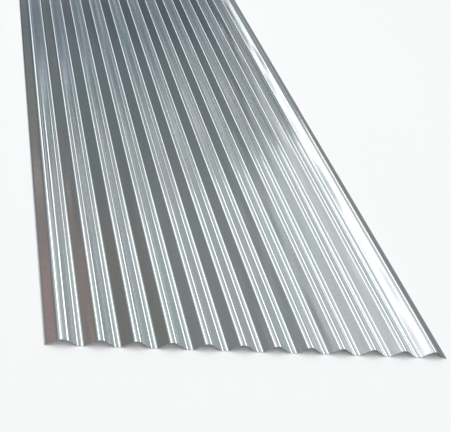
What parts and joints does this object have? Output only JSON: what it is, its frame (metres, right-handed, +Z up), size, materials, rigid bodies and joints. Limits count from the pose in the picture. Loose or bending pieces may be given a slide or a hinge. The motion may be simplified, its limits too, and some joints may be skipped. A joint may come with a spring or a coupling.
{
  "type": "corrugated metal sheet",
  "caption": "Zinc coated steel sheet rolled into even round corrugations along its length, with both side edges turned down.",
  "frame": {"origin": "middle of the sheet's plan, on the plane that the undersides of its valleys rest on", "axes": "+Y along the corrugations, +X across them, +Z up out of the crests"},
  "size_m": [0.906, 2.44, 0.0184],
  "materials": {
    "zinc_coated_steel": "bright hot dip zinc coating with a fine spangle, mirror-like, with fine rolling lines along the corrugations"
  },
  "bodies": {
    "root": {"corrugated_sheet": "zinc_coated_steel"}
  },
  "joints": []
}
